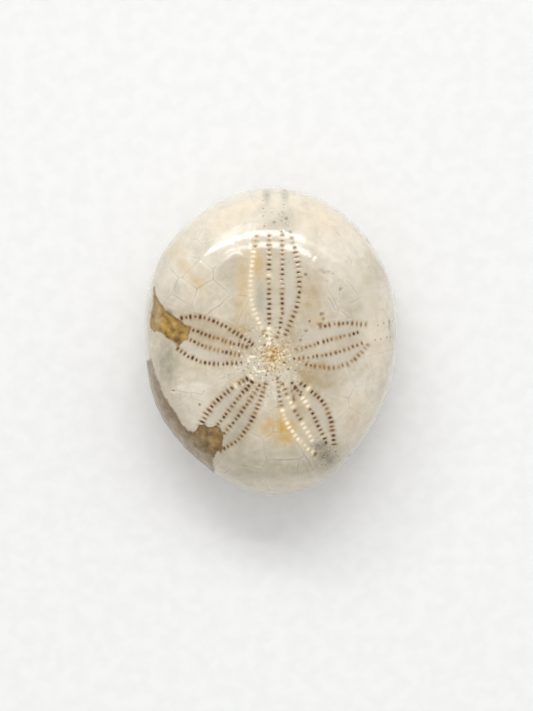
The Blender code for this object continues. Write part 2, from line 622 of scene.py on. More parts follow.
# Middles of the upper plates between two petals, counted from the right lower gap the way the
# bearings grow: (x, y) in millimetres and tone, where -1 is drab and 1 is ivory.
PLATES = (
    (
        (4.9, -3.7, -0.7), (3.0, -4.3, -0.4), (7.2, -4.3, 0.2), (6.3, -6.4, 0.1), (9.2, -3.1, 0.3),
        (9.3, -5.8, 0.5), (8.0, -8.4, 0.1), (10.3, -8.1, 0.5), (11.3, -4.7, 0.5),
        (8.4, -10.8, 0.2), (11.2, -2.0, 0.4), (10.4, -11.0, 0.5),
    ),
    (
        (2.3, 2.1, -0.4), (3.8, 5.7, -0.5), (5.6, 8.3, 0.5), (6.9, 10.6, 0.6), (7.6, 11.7, 0.7),
        (5.3, 3.5, -0.5), (7.5, 5.0, 0.0), (10.4, 6.8, 0.4), (8.4, 2.8, 0.1), (3.6, 9.7, 0.5),
        (4.2, 12.4, 0.8), (11.1, 4.2, 0.3), (9.8, 9.5, 0.5), (3.7, 14.5, 0.7), (7.1, 13.4, 0.8),
        (12.1, 2.5, 0.4),
    ),
    (
        (-4.2, 7.1, -0.1), (-7.6, 6.8, 0.3), (-6.5, 4.7, 0.3), (-6.0, 9.3, 0.9),
        (-6.3, 11.1, 0.8), (-2.9, 13.0, 1.0), (-1.9, 11.3, 0.8), (-8.4, 9.4, 0.0), (-8.9, 8.0, 0.2),
        (-8.0, 11.4, 0.4), (-4.7, 2.5, -0.3), (-8.9, 5.1, 0.1), (-10.6, 5.9, 0.5), (-10.0, 9.3, 0.3),
        (-2.2, 1.3, -0.2), (-7.0, 13.2, 0.8), (-5.0, 14.2, 1.0), (-9.7, 3.7, 0.1),
    ),
    (
        (-3.2, -3.1, -0.1), (-5.4, -2.9, 0.3), (-7.9, -2.5, 0.4), (-10.2, -2.5, -0.2),
        (-12.0, -1.6, 0.0), (-4.9, -4.8, 0.2), (-6.8, -4.7, 0.3), (-9.6, -5.1, 0.5),
        (-8.3, -7.3, 0.5), (-12.3, -4.4, 0.0), (-10.2, -7.6, 0.3), (-7.1, -7.2, 0.2),
    ),
    (
        (-0.4, -5.4, -0.1), (-1.3, -7.8, -0.2), (1.5, -7.8, -0.2), (-2.5, -11.1, -0.3),
        (1.2, -10.6, -0.3), (-2.9, -14.0, -0.2), (1.3, -13.4, -0.4), (-5.4, -11.9, -0.2),
        (-5.8, -14.0, 0.1), (4.2, -13.2, -0.3), (3.1, -15.1, 0.0),
    ),
)


# Hairline cracks in the upper shell, by their points in millimetres.
CRACKS = (
    ((3.8, 7.9), (4.3, 7.1), (5.0, 6.5), (6.0, 6.0)),
    ((6.8, 4.2), (7.5, 4.0), (8.5, 4.1), (9.2, 4.6), (9.7, 5.0)),
    ((5.7, 4.6), (6.1, 4.1), (6.5, 3.4), (7.3, 3.2), (7.9, 2.6)),
    ((9.4, 4.0), (9.8, 3.6), (10.2, 2.8), (10.2, 2.2)),
    ((7.2, 10.1), (7.5, 9.2), (7.9, 8.6), (8.2, 7.9)),
    ((5.0, 12.5), (6.3, 11.6), (7.3, 10.4)),
    ((6.8, 4.6), (6.9, 5.1), (7.3, 5.5)),
    ((7.6, 6.4), (8.2, 5.7), (8.8, 4.7)),
    ((-6.7, 14.0), (-5.2, 14.3), (-2.7, 14.5)),
    ((-10.1, -4.9), (-8.7, -5.2), (-7.2, -5.3), (-6.9, -4.8)),
)


class Mosaic:
    """The shell's plates: two columns between each two rays, meeting in thin seams."""

    BAND = 2.15                 # half width of the pore-bearing band beyond the petals
    BAND_RUN = 6.0              # distance from the crown where the band is at its width
    RUNS = (16.4, 18.9, 21.3, 23.6, 25.6, 27.4, 29.0)   # rows of plates down the side and under
    WARP = 0.16                 # how far the seams stray from straight
    JITTER = 0.22               # how far a side plate strays from its place
    BAR_PITCH = 0.95            # height of the narrow plates inside a band
    GIRTHS = ((12.0, 19.0, 29.0), (12.0, 12.5, 2.0))    # runs, and distances from the middle there
    BAND_SHARES = ((20.0, 29.0), (1.0, 0.35))           # runs, and shares of the band's width there
    LEAST_GAP = 0.12            # least turn from the gap's middle to its columns, times two
    SIDE_TONES = (-0.7, 0.9)
    UNDER = (13.0, 22.0)        # runs where the middle moves from the crown's to the mouth's
    BARS_FROM = (12.5, 11.5)    # runs where the bands' narrow plates fade in
    BAND_FROM = (11.8, 13.0)
    BAND_EDGE = (0.1, -0.2)
    WARP_SIZE = 1.3
    BORDER_WARP_SIZE = 2.0

    def __init__(self, form: TestForm, noise: Noise, seed: int = 31) -> None:
        """Place the plates' middles.

        Args:
            form: Form of the body.
            noise: Noise that bends the seams.
            seed: Seed of the side plates' strays and tones, and of all plates' tilts.
        """
        self.form = form
        self.noise = noise
        draws = np.random.default_rng(seed)
        self.rays = np.sort(np.radians([petal.bearing % 360.0 for petal in PETALS]))
        self.seeds, self.tones, self.tilts = [], [], []
        for sector in range(5):
            behind, ahead = self.rays[sector - 1], self.rays[sector]
            half = np.mod(ahead - behind, math.tau) / 2.0
            upper = np.array(PLATES[sector])
            runs, bearings = [form.over(upper[:, :2])[1]], [form.over(upper[:, :2])[0]]
            for column in (0, 1):
                numbers = np.arange(len(self.RUNS)) + 0.5 * column
                run = np.interp(numbers, np.arange(len(self.RUNS)), self.RUNS)
                wide = np.interp(run, *self.GIRTHS)
                offset = 0.5 * np.maximum(half - self.band(run) / wide, self.LEAST_GAP)
                side = 1.0 if column else -1.0
                runs.append(run + draws.normal(0.0, self.JITTER, len(run)))
                stray = draws.normal(0.0, self.JITTER, len(run)) / wide
                bearings.append(behind + half + side * offset + stray)
            self.seeds.append(form.lay(form.direction(np.concatenate(bearings), np.concatenate(runs))))
            tones = np.concatenate((upper[:, 2], draws.uniform(*self.SIDE_TONES, 2 * len(self.RUNS))))
            self.tones.append(tones)
            self.tilts.append(draws.normal(0.0, 1.0, (len(tones), 3)))

    def band(self, run: Array) -> Array:
        """Half width of the pore-bearing band.

        Args:
            run: Lengths from the crown in millimetres.

        Returns:
            Half widths in millimetres.
        """
        return self.BAND * smooth_step(0.0, self.BAND_RUN, run) * np.interp(run, *self.BAND_SHARES)

    def read(self, directions: Array, points: Array) -> dict[str, Array]:
        """Find each point's place in the mosaic.

        Args:
            directions: Unit vectors of the points.
            points: Points on the body in millimetres.

        Returns:
            Named values for each point: seam, inner, tint, tilt, band and crack.
        """
        bearing = self.form.ray_bearing(np.arctan2(directions[:, 1], directions[:, 0])) % math.tau
        run = self.form.run(directions)
        under = smooth_step(*self.UNDER, run)[:, None]
        centre = np.array(self.form.crown) * (1.0 - under) + np.array(self.form.mouth) * under
        reach = np.linalg.norm(points[:, :2] - centre, axis=1)
        strays = [self.noise.at(points + shift, self.WARP_SIZE) for shift in (0.0, 30.0, 60.0)]
        bent = points + self.WARP * np.column_stack(strays)
        sector = np.searchsorted(self.rays, bearing) % 5
        gaps = angle_between(np.stack((self.rays[sector - 1], self.rays[sector])), bearing)
        nearer = np.where(np.abs(gaps[0]) < np.abs(gaps[1]), gaps[0], gaps[1])
        across = reach * np.sin(np.clip(nearer, -1.5, 1.5))
        across += 0.5 * self.WARP * self.noise.at(points, self.BORDER_WARP_SIZE)
        border = np.abs(across) - self.band(run)

        seam = np.full(len(points), FAR)
        tint, tilt = np.zeros((2, len(points)))
        for number, seeds in enumerate(self.seeds):
            chosen = np.flatnonzero(sector == number)
            away = ((bent[chosen][:, None, :] - seeds[None, :, :]) ** 2).sum(axis=2)
            owner = away.argmin(axis=1)
            own = away[np.arange(len(chosen)), owner]
            spacing = np.linalg.norm(seeds[owner][:, None, :] - seeds[None, :, :], axis=2)
            spacing[np.arange(len(chosen)), owner] = 1.0
            edges = (away - own[:, None]) / (2.0 * spacing)
            edges[np.arange(len(chosen)), owner] = FAR
            seam[chosen] = np.minimum(edges.min(axis=1), np.maximum(border[chosen], 0.0))
            tint[chosen] = self.tones[number][owner]
            tilt[chosen] = ((points[chosen] - seeds[owner]) * self.tilts[number][owner]).sum(axis=1)
        outside = border > 0.0
        row = np.mod(run / self.BAR_PITCH + 0.5 * (across > 0.0), 1.0)
        bars = np.minimum(np.minimum(np.abs(across), np.abs(row - 0.5) * self.BAR_PITCH), -border)
        crack = np.full(len(points), FAR)
        for path in CRACKS:
            for first, second in zip(path, path[1:]):
                crack = np.minimum(crack, line_distance(bent[:, :2], np.array(first), np.array(second)))
        crack += FAR * (directions[:, 2] < 0.0)
        inner = np.where(outside, FAR, bars) + FAR * smooth_step(*self.BARS_FROM, run)
        return {
            "seam": np.minimum(np.where(outside, seam, -border), crack),
            "inner": inner,
            "tint": np.where(outside, tint, 0.0),
            "tilt": np.where(outside, tilt, 0.0),
            "band": smooth_step(*self.BAND_EDGE, border) * smooth_step(*self.BAND_FROM, run),
            "crack": crack,
        }


@dataclass(frozen=True)
class MatrixPatch:
    """A place where the shell is broken away and shows the sediment, by its edge in plan."""

    edge: tuple[Plan, ...]
    golden: float               # 1 is golden limonite, 0 is taupe mudstone
    crispness: float            # 1 is a broken edge, less is an edge where the shell thins out
    over_rim: bool              # whether it goes on down the side

    def inside(self, plan: Array) -> Array:
        """Signed distance from the patch's edge.

        Args:
            plan: Plan points in millimetres, one row each.

        Returns:
            Distances in millimetres, above 0 inside.
        """
        corners = np.array(self.edge)
        distance = np.full(len(plan), math.inf)
        odd = np.zeros(len(plan), bool)
        for first, second in zip(corners, np.roll(corners, -1, axis=0)):
            distance = np.minimum(distance, line_distance(plan, first, second))
            side = second - first
            spans = (first[1] > plan[:, 1]) != (second[1] > plan[:, 1])
            slope = side[0] / side[1] if side[1] else 0.0
            odd ^= spans & (plan[:, 0] < first[0] + (plan[:, 1] - first[1]) * slope)
        return np.where(odd, distance, -distance)


PATCHES = (
    MatrixPatch((
        (-12.0, 5.7), (-11.7, 4.6), (-10.7, 3.2), (-9.8, 2.5), (-9.0, 2.0), (-8.3, 1.5), (-8.3, 0.9),
        (-8.5, 0.3), (-8.9, 0.1), (-9.2, -0.2), (-9.5, -0.6), (-9.8, -0.2), (-10.1, 0.1), (-10.6, 0.3),
        (-11.0, 0.8), (-11.6, 1.1), (-12.0, 1.0), (-12.3, 1.4), (-12.4, 2.2), (-12.3, 3.2), (-12.1, 3.8),
    ), 1.0, 0.8, False),
    MatrixPatch((
        (-12.6, -1.9), (-12.3, -1.7), (-11.7, -3.7), (-10.9, -5.5), (-10.4, -6.4), (-9.6, -7.4),
        (-9.1, -8.4), (-8.5, -9.1), (-8.0, -9.15), (-7.4, -9.3), (-6.2, -10.9), (-5.7, -11.5),
        (-6.0, -12.3), (-5.8, -13.1), (-6.5, -16.0), (-16.0, -16.0), (-16.0, -3.0),
    ), 0.0, 0.45, True),
    MatrixPatch((
        (-8.1, -9.3), (-7.9, -9.1), (-7.5, -8.8), (-7.3, -8.4), (-6.8, -8.4), (-6.4, -8.65), (-5.9, -8.6),
        (-5.6, -8.5), (-5.2, -8.8), (-4.9, -9.5), (-4.9, -10.1), (-5.0, -11.0), (-5.5, -11.25),
        (-5.8, -11.8), (-6.4, -11.3), (-7.2, -10.2), (-7.8, -9.8),
    ), 0.3, 1.0, False),
)


class Tint(Enum):
    """Tints on the calcite, each with its colour: mostly stains of ground water and clay; the broad pale
    patches lighten the top of the dome, and one broad white patch whitens the top edge as a painted
    reflection.
    """

    PALE = "#f0e8d8"
    WARM = "#efd9b6"
    TAN = "#b39c78"
    OLIVE = "#a39b80"
    OCHRE = "#cda556"
    GREY = "#85857a"
    SPAR_AND_REFLECTION = "#fff6e0"
    MARK = "#472605"
    GOLD = "#8f6420"
    CLAY = "#b09772"


@dataclass(frozen=True)
class StainAndReflection:
    """A soft stain, or a painted reflection laid the same way: its middle, half sizes and turn in plan,
    and its strength.
    """

    middle: Plan
    halves: Plan
    turn: float
    strength: float

    SMALL = 0.7                 # half size below which a stain is a mark with a clear edge
    MARK_EDGE = (1.3, 0.5)      # where an edge starts and ends, in half sizes
    STAIN_EDGE = (1.7, 0.1)
    MARK_STRAY = (0.0, 0.3)     # how far the broad and the fine noise break an edge
    STAIN_STRAY = (0.55, 0.2)

    def cover(self, plan: Array, ragged: tuple[Array, Array]) -> Array:
        """Strength of the stain at each point.

        Args:
            plan: Plan points in millimetres, one row each.
            ragged: Broad and fine noise from -1 to 1 that break the edge.

        Returns:
            Shares from 0 to 1.
        """
        angle = math.radians(self.turn)
        away = plan - np.array(self.middle)
        along = (away[:, 0] * math.cos(angle) + away[:, 1] * math.sin(angle)) / self.halves[0]
        across = (away[:, 1] * math.cos(angle) - away[:, 0] * math.sin(angle)) / self.halves[1]
        small = max(self.halves) < self.SMALL
        edge, stray = (self.MARK_EDGE, self.MARK_STRAY) if small else (self.STAIN_EDGE, self.STAIN_STRAY)
        distance = np.hypot(along, across) + stray[0] * ragged[0] + stray[1] * ragged[1]
        return self.strength * smooth_step(*edge, distance)


# Stains of each tint, with one painted reflection among the spar's: middle, half sizes, turn in degrees
# and strength.
STAINS_AND_REFLECTIONS = {
    Tint.PALE: (
        # The first three broad patches lighten the top of the dome.
        ((-4.5, 12.4), (5.8, 2.8), 32.0, 0.90), ((5.6, 11.6), (5.8, 3.0), -36.0, 0.85),
        ((0.6, 13.6), (2.4, 2.2), 0.0, 0.75), ((-9.4, 7.6), (1.8, 4.2), -28.0, 0.45),
        ((11.3, 2.0), (1.8, 6.5), 0.0, 0.65), ((6.2, 6.8), (2.8, 2.6), -40.0, 0.45),
        ((10.2, -4.4), (2.1, 4.6), -12.0, 0.65), ((10.8, -2.6), (1.6, 2.0), 0.0, 0.75),
        ((7.6, -8.8), (2.2, 3.0), -35.0, 0.40), ((-8.0, -6.6), (1.5, 1.8), 0.0, 0.35),
        ((-8.6, -4.7), (1.9, 0.55), 6.0, 0.70), ((-8.3, -5.3), (1.6, 0.12), 4.0, 0.55),
        ((0.3, -14.6), (5.5, 0.9), 0.0, 0.35),
    ),
    Tint.WARM: (
        ((-4.2, 12.8), (2.8, 1.2), 28.0, 0.38), ((5.2, 12.4), (3.0, 1.6), -28.0, 0.40),
        ((11.0, -1.0), (0.9, 4.0), 0.0, 0.30), ((8.8, -7.5), (2.0, 2.0), 0.0, 0.30),
    ),
    Tint.TAN: (
        ((4.3, 4.4), (1.5, 2.4), 0.0, 0.75), ((3.9, 2.6), (2.0, 1.1), -20.0, 0.45),
        ((3.9, -3.4), (2.2, 1.5), -30.0, 0.95), ((2.4, -5.6), (0.8, 1.9), 25.0, 0.70),
        ((1.9, 0.6), (1.2, 2.2), 0.0, 0.55), ((-3.6, 1.4), (1.6, 1.8), 35.0, 0.60),
        ((-2.8, -1.2), (2.2, 0.9), 0.0, 0.50), ((-6.2, 1.0), (3.4, 1.5), -20.0, 0.62),
        ((-2.6, -4.3), (2.0, 1.2), 45.0, 0.30), ((-6.6, -2.8), (2.2, 0.5), 0.0, 0.25),
    ),
    Tint.OLIVE: (
        ((8.8, 4.6), (2.0, 2.4), 0.0, 0.22), ((4.4, -3.9), (2.0, 1.3), -30.0, 0.55),
        ((0.5, -12.2), (6.0, 1.6), 0.0, 0.42), ((-3.4, -9.4), (1.6, 2.6), -20.0, 0.55),
        ((-3.9, 7.0), (1.6, 2.2), 0.0, 0.15), ((-10.6, -2.8), (1.5, 2.4), 0.0, 0.50),
        ((5.7, -7.9), (0.8, 2.0), 24.0, 0.25), ((0.9, 12.6), (1.5, 1.6), 0.0, 0.30),
        ((5.4, -11.4), (1.8, 1.2), -40.0, 0.60),
    ),
    Tint.OCHRE: (
        ((-1.2, 7.9), (0.85, 2.3), 4.0, 0.58), ((-2.9, 5.2), (0.75, 3.6), 0.0, 0.42),
        ((1.2, -8.7), (1.0, 1.5), 14.0, 1.0), ((1.6, -9.7), (1.0, 0.7), -18.0, 0.65),
        ((0.3, -8.8), (1.5, 1.3), 0.0, 0.70), ((-8.6, 7.3), (1.5, 0.45), -50.0, 0.32),
        ((-7.4, 6.0), (1.0, 0.5), -30.0, 0.40), ((-9.8, 9.4), (0.8, 0.8), 0.0, 0.25),
        ((4.0, 4.2), (0.9, 1.4), 0.0, 0.12), ((4.9, 2.2), (0.8, 0.5), 0.0, 0.40),
    ),
    Tint.GREY: (
        ((-1.1, 4.2), (0.6, 1.9), 0.0, 0.38), ((1.5, 12.6), (0.75, 0.9), 0.0, 0.18),
        ((-0.4, 15.0), (0.32, 1.0), 0.0, 0.75), ((1.4, 15.2), (0.32, 0.9), 0.0, 0.65),
        ((4.7, -10.6), (0.9, 0.5), 40.0, 0.45), ((5.7, -12.1), (1.0, 0.8), -30.0, 0.22),
        ((-9.6, 5.4), (0.35, 0.75), 0.0, 0.35), ((-10.3, -2.4), (0.22, 1.9), 0.0, 0.32),
        ((-11.2, -2.2), (0.2, 1.4), 0.0, 0.25), ((12.1, 1.8), (0.12, 0.6), 0.0, 0.70),
    ),
    Tint.SPAR_AND_REFLECTION: (
        # The first, broad patch is no spar: it whitens the top edge as a painted reflection of the pale
        # floor.
        ((0.6, 14.0), (1.7, 1.7), 0.0, 0.30), ((-1.95, -1.5), (0.42, 0.12), 0.0, 1.0),
        ((-2.3, -1.95), (0.15, 0.15), 0.0, 1.0), ((-1.65, -2.7), (0.10, 0.34), 30.0, 1.0),
        ((-1.25, -3.0), (0.28, 0.09), 0.0, 1.0), ((-0.7, -2.95), (0.2, 0.1), 0.0, 1.0),
        ((-0.7, 0.6), (0.12, 0.12), 0.0, 1.0), ((-10.1, -5.05), (0.35, 0.10), -10.0, 0.8),
        ((-9.0, -4.5), (0.65, 0.10), 10.0, 0.30), ((-7.8, -4.35), (0.65, 0.10), 2.0, 0.30),
    ),
    Tint.MARK: (
        ((2.45, -4.75), (0.28, 0.16), 30.0, 0.90), ((2.30, -5.7), (0.16, 0.45), 0.0, 0.70),
        ((2.15, -5.05), (0.12, 0.22), 20.0, 0.80), ((3.05, -5.1), (0.16, 0.10), 0.0, 0.85),
        ((6.1, 7.05), (0.28, 0.12), -15.0, 0.75), ((5.3, 7.2), (0.45, 0.14), 0.0, 0.60),
        ((3.5, 6.85), (0.20, 0.07), 0.0, 0.75), ((7.0, 5.4), (0.24, 0.14), 40.0, 0.50),
        ((5.15, 2.85), (0.38, 0.10), 30.0, 0.75), ((5.35, 2.45), (0.12, 0.12), 0.0, 0.70),
        ((4.95, 1.85), (0.28, 0.20), 0.0, 0.45), ((3.9, 2.1), (0.17, 0.11), 15.0, 0.90),
        ((3.6, 1.15), (0.17, 0.13), 30.0, 0.75), ((3.0, 0.2), (0.17, 0.13), 30.0, 0.65),
        ((4.9, -10.7), (0.95, 0.60), -40.0, 0.34), ((5.8, -11.9), (1.0, 0.45), -50.0, 0.22),
        ((10.0, 10.3), (0.30, 0.06), -45.0, 0.60), ((9.2, 10.9), (0.25, 0.05), -50.0, 0.35),
        ((8.05, -11.6), (0.17, 0.08), 35.0, 0.85), ((-10.05, -4.95), (0.28, 0.08), -8.0, 0.85),
        ((-7.3, -6.4), (0.10, 0.13), 0.0, 0.80), ((-0.1, 12.4), (0.12, 0.10), 0.0, 0.70),
        ((0.3, 12.15), (0.20, 0.08), -25.0, 0.70), ((1.55, 12.6), (0.14, 0.11), 0.0, 0.65),
        ((1.65, 11.8), (0.14, 0.10), 0.0, 0.60), ((1.95, 11.2), (0.14, 0.11), 0.0, 0.65),
        ((0.8, 11.9), (0.10, 0.10), 0.0, 0.50), ((0.31, -1.0), (0.11, 0.08), 0.0, 0.75),
        ((0.87, -1.0), (0.10, 0.08), 0.0, 0.70), ((1.3, -1.35), (0.14, 0.10), 0.0, 0.70),
        ((0.04, -1.6), (0.12, 0.10), 0.0, 0.70), ((1.35, -2.1), (0.25, 0.10), -20.0, 0.80),
        ((1.75, -2.75), (0.14, 0.09), 0.0, 0.70), ((-0.65, -0.3), (0.15, 0.13), 0.0, 0.75),
        ((-10.1, 1.2), (0.32, 0.42), 0.0, 0.60), ((-9.6, 0.3), (0.50, 0.32), 0.0, 0.70),
        ((-10.4, 3.0), (0.30, 0.45), 40.0, 0.40), ((-6.6, -10.5), (0.25, 0.30), 0.0, 0.40),
        ((-6.7, -11.2), (0.22, 0.28), 0.0, 0.45), ((-7.3, -9.3), (0.18, 0.35), 0.0, 0.35),
        ((-7.1, -8.7), (0.30, 0.22), 0.0, 0.35),
    ),
    Tint.CLAY: (
        ((-12.0, 4.0), (0.5, 1.8), 12.0, 0.55), ((-11.4, -4.6), (0.9, 2.2), 15.0, 0.65),
        ((-9.6, -9.0), (0.6, 2.0), 38.0, 0.45), ((-6.6, -12.2), (0.5, 1.2), 40.0, 0.60),
    ),
    Tint.GOLD: (
        ((-5.4, -10.0), (0.45, 0.9), 0.0, 0.45), ((-9.4, 2.0), (0.8, 0.5), -40.0, 0.40),
        ((-10.4, -6.6), (0.25, 1.3), 30.0, 0.50), ((-9.4, -8.2), (0.22, 1.0), 35.0, 0.45),
    ),
}


def linear(code: str) -> tuple[float, float, float, float]:
    """Turn an sRGB hex colour into linear light.

    Args:
        code: Colour as #rrggbb.

    Returns:
        Red, green, blue and alpha.
    """
    shares = [int(code[place:place + 2], 16) / 255.0 for place in (1, 3, 5)]
    lights = [share / 12.92 if share <= 0.04045 else ((share + 0.055) / 1.055) ** 2.4 for share in shares]
    return (*lights, 1.0)


def add_node(tree: bpy.types.NodeTree, kind: str, settings: dict, inputs: dict) -> bpy.types.Node:
    """Add a node with its settings and links.

    Args:
        tree: Node tree that takes the node.
        kind: Node type.
        settings: Properties to set; "stops" gives a colour ramp's places and hex colours.
        inputs: Input name or number to a value, or to the output that feeds it.

    Returns:
        The node.
    """
    node = tree.nodes.new(kind)
    for name, value in settings.items():
        if name == "stops":
            elements = node.color_ramp.elements
            for stop, (place, code) in enumerate(value):
                element = elements[stop] if stop < 2 else elements.new(place)
                element.position = place
                element.color = linear(code)
        else:
            setattr(node, name, value)
    for key, value in inputs.items():
        if isinstance(value, bpy.types.NodeSocket):
            tree.links.new(value, node.inputs[key])
        else:
            node.inputs[key].default_value = value
    return node


@dataclass(frozen=True)
class WhitePaper:
    """Matt drawing paper, pressed smooth: even, pale, with a trace of fibre."""

    stops: Stops = ((0.4, "#f3f3f2"), (0.6, "#f6f6f5"))
    fibre: float = 1.6          # width of the cloudy fibre, in millimetres
    octaves: float = 3.0
    roughness: float = 0.9
    sheen: float = 0.2

    def build(self) -> bpy.types.Material:
        """Make the material.

        Returns:
            The material.
        """
        material = bpy.data.materials.new("white_drawing_paper")
        material.use_nodes = True
        tree = material.node_tree
        shader = tree.nodes["Principled BSDF"]
        place = add_node(tree, "ShaderNodeTexCoord", {}, {}).outputs["Object"]
        cloud = add_node(tree, "ShaderNodeTexNoise", {}, {
            "Vector": place, "Scale": 1.0 / (self.fibre * MM), "Detail": self.octaves,
        })
        ramp = add_node(tree, "ShaderNodeValToRGB", {"stops": self.stops}, {"Fac": cloud.outputs["Fac"]})
        tree.links.new(ramp.outputs[0], shader.inputs["Base Color"])
        shader.inputs["Roughness"].default_value = self.roughness
        shader.inputs["Specular IOR Level"].default_value = self.sheen
        return material


class Coats:
    """Node tree of a finish, with the values and grains of its piece that it reads."""

    OCTAVE_SHARE = 0.58         # how strong each finer octave of a grain is

    def __init__(
        self,
        material: bpy.types.Material,
        marks: tuple[str, ...],
        grains: dict[str, Span],
    ) -> None:
        """Clear the tree and add what it reads.

        Args:
            material: Material that takes the nodes.
            marks: Names of the mesh's own values.
            grains: Size in millimetres and octaves of each grain.
        """
        material.use_nodes = True
        self.tree = material.node_tree
        self.tree.nodes.clear()
        place = self.add("ShaderNodeTexCoord", {}, {}, "Object")
        self.marks = {
            name: self.add("ShaderNodeAttribute", {"attribute_name": name}, {}, "Fac") for name in marks
        }
        self.grains = {
            name: self.add("ShaderNodeTexNoise", {}, {
                "Vector": place,
                "Scale": 1.0 / (size * MM),
                "Detail": octaves,
                "Roughness": self.OCTAVE_SHARE,
            }, "Fac")
            for name, (size, octaves) in grains.items()
        }

    def add(self, kind: str, settings: dict, inputs: dict, output: int | str = 0) -> Socket:
        """Add a node and give one of its outputs."""
        return add_node(self.tree, kind, settings, inputs).outputs[output]

    def lay(self, below: Socket, above: Socket | str, *shares: Socket | float) -> Socket:
        """Lay one colour over another.

        Args:
            below: The lower colour.
            above: The upper colour, as an output or an sRGB hex colour.
            shares: How much of the upper colour shows; more than one are multiplied.

        Returns:
            The colour's output.
        """
        share = shares[0]
        for factor in shares[1:]:
            share = self.add("ShaderNodeMath", {"operation": "MULTIPLY"}, {0: share, 1: factor})
        if isinstance(above, str):
            above = linear(above)
        return self.add("ShaderNodeMix", {"data_type": "RGBA"}, {0: share, 6: below, 7: above}, 2)


